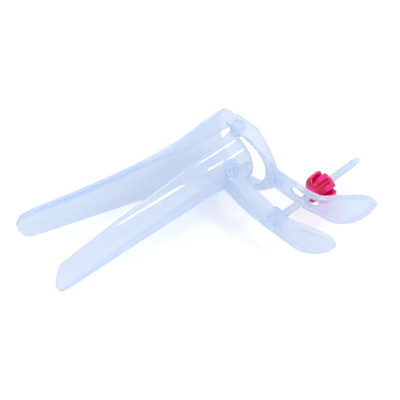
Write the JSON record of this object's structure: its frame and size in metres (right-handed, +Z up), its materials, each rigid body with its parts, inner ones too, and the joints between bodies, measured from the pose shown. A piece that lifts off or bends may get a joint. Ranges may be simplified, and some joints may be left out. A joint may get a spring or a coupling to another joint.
{
  "type": "bivalve speculum",
  "caption": "Clear plastic bivalve speculum with trough blades hinged at a round collar, finger handles, and a screw with a fluted thumb nut that holds the blades apart.",
  "frame": {"origin": "on the hinge axis, at the level of the table that the speculum lies on with one side arm", "axes": "+Z up along the hinge axis, +X from the blade tips towards the screw's free end, +Y from the finger paddles towards the blades"},
  "size_m": [0.166, 0.1193, 0.0424],
  "materials": {
    "valve_plastic": "clear polished",
    "screw_plastic": "clear",
    "nut_plastic": "polished magenta"
  },
  "bodies": {
    "posterior": {"posterior_valve": "valve_plastic"},
    "anterior": {"anterior_valve": "valve_plastic"},
    "screw": {"screw": "screw_plastic"},
    "nut": {"nut": "nut_plastic"}
  },
  "joints": [
    {"name": "valve_hinge", "type": "hinge", "parent": "posterior", "child": "anterior", "pos_m": [0, 0, 0.0212], "axis": [0, 0, 1], "range_deg": [-18, 17]},
    {"name": "screw_swivel", "type": "hinge", "parent": "posterior", "child": "screw", "pos_m": [-0.0182, -0.0462, 0.0212], "axis": [0, 0, 1], "range_deg": [-9.1, 8.6]},
    {"name": "nut_travel", "type": "slide", "parent": "screw", "child": "nut", "axis": [0.9985, -0.0541, 0], "range_m": [-0.0147, 0.0139]}
  ],
  "couplings": [
    {"joint": "screw_swivel", "follows": "valve_hinge", "ratio": 0.5},
    {"joint": "nut_travel", "follows": "valve_hinge", "m_per_rad": 0.04641}
  ]
}
